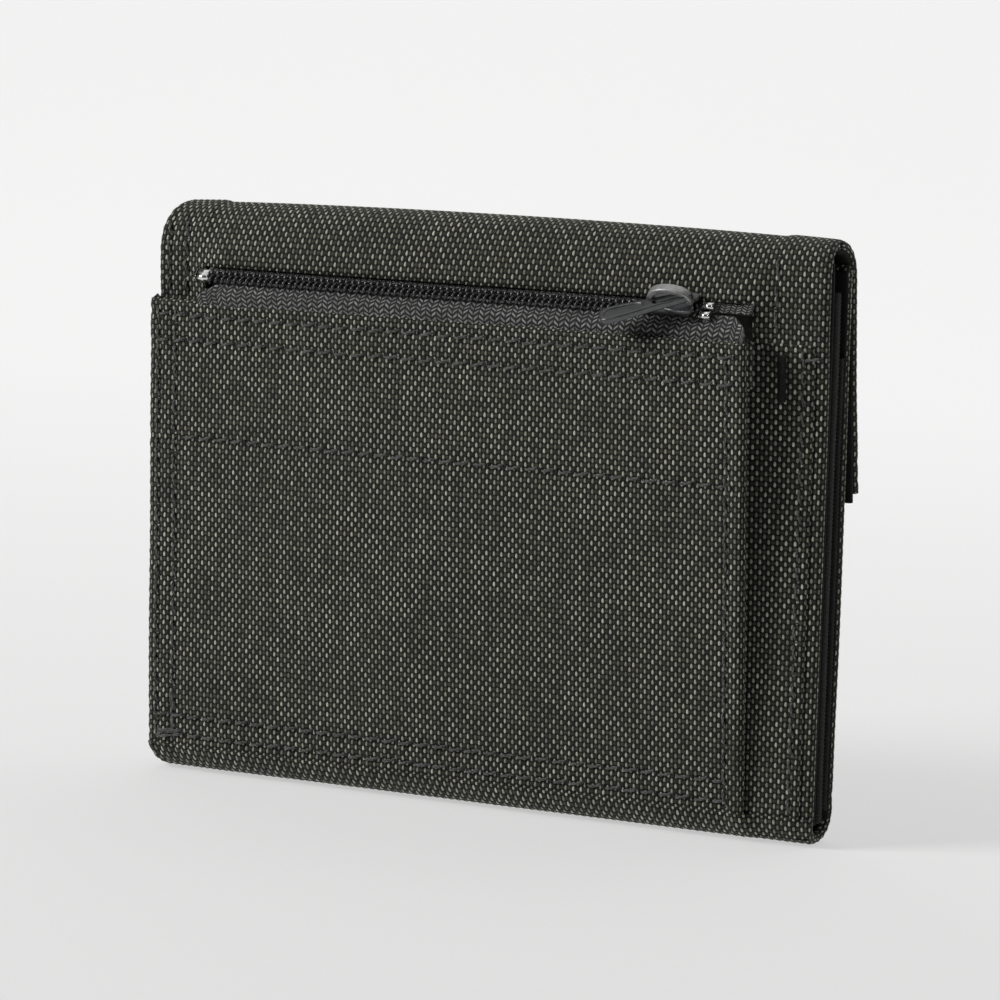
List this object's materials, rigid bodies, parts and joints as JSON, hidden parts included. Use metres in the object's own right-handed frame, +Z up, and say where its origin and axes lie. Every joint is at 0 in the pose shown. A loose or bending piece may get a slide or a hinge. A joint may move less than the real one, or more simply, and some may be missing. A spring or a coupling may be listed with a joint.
{
  "type": "bifold wallet",
  "caption": "Cloth bifold wallet that stands on its spine, with a zipped bellows coin pocket on the back and a flap that closes over the top.",
  "frame": {"origin": "middle of the spine fold's flat underside, on which the closed wallet stands", "axes": "+Z up, from the spine to the folded top; +X along the width, towards the bellows side of the coin pocket; -Y towards the coin pocket, +Y towards the closing flap"},
  "size_m": [0.115, 0.0239, 0.092],
  "materials": {
    "melange_cloth": "matte plain weave, black with pale warp flecks",
    "lining_cloth": "matte black nylon",
    "grosgrain": "ribbed, slight sheen",
    "board": "plain foam board",
    "zip_tape": "knitted, matte",
    "zip_coil": "satin nylon coil",
    "bright_metal": "bright",
    "gunmetal": "satin gunmetal",
    "thread": "polyester thread",
    "closure_tape": "hook and loop pile"
  },
  "bodies": {
    "back": {"back_panel": "melange_cloth", "back_stiffener": "board", "back_lining": "lining_cloth", "bill_divider": "lining_cloth", "rear_card_slot_1": "lining_cloth", "rear_card_slot_2": "lining_cloth", "rear_card_slot_3": "lining_cloth", "rear_binding_left": "grosgrain", "rear_binding_right": "grosgrain", "spine_fold": "melange_cloth", "spine_lining": "lining_cloth", "back_yoke": "melange_cloth", "coin_pocket_front": "melange_cloth", "coin_pocket_facing": "lining_cloth", "coin_pocket_gusset": "melange_cloth", "bar_tack": "thread", "zip_tape_upper": "zip_tape", "zip_tape_lower": "zip_tape", "zip_coil_upper": "zip_coil", "zip_coil_lower": "zip_coil", "zip_bottom_stop": "bright_metal", "zip_top_stops": "bright_metal"},
    "front": {"front_panel": "melange_cloth", "front_stiffener": "board", "front_lining": "lining_cloth", "front_card_slot_1": "lining_cloth", "front_card_slot_2": "lining_cloth", "front_binding_left": "grosgrain", "front_binding_right": "grosgrain", "front_loop_tape": "closure_tape"},
    "top": {"flap_top_strip": "melange_cloth", "flap_top_lining": "lining_cloth"},
    "flap": {"flap_panel": "melange_cloth", "flap_lining": "lining_cloth", "flap_hook_tape": "closure_tape"},
    "slider": {"zip_slider_body": "gunmetal", "zip_slider_crown": "gunmetal"},
    "pull": {"zip_pull_tab": "gunmetal"}
  },
  "joints": [
    {"name": "front_fold", "type": "hinge", "parent": "back", "child": "front", "pos_m": [0, 0, 0.0016], "axis": [-1, 0, 0], "range_deg": [0, 180], "deforming": ["spine_fold", "spine_lining", "flap_panel", "flap_lining", "flap_hook_tape"]},
    {"name": "top_fold", "type": "hinge", "parent": "back", "child": "top", "pos_m": [0, -0.0051, 0.0914], "axis": [1, 0, 0], "range_deg": [0, 90]},
    {"name": "flap_fold", "type": "hinge", "parent": "top", "child": "flap", "pos_m": [0, 0.0059, 0.0914], "axis": [1, 0, 0], "range_deg": [0, 81]},
    {"name": "zip_slide", "type": "slide", "parent": "back", "child": "slider", "axis": [-1, 0, 0], "range_m": [0, 0.0757]},
    {"name": "pull_swing", "type": "hinge", "parent": "slider", "child": "pull", "pos_m": [0.03575, -0.00959, 0.08261], "axis": [0, 0.7771, 0.6293], "range_deg": [0, 170]}
  ],
  "couplings": [
    {"joint": "flap_fold", "follows": "top_fold", "ratio": 0.9}
  ]
}
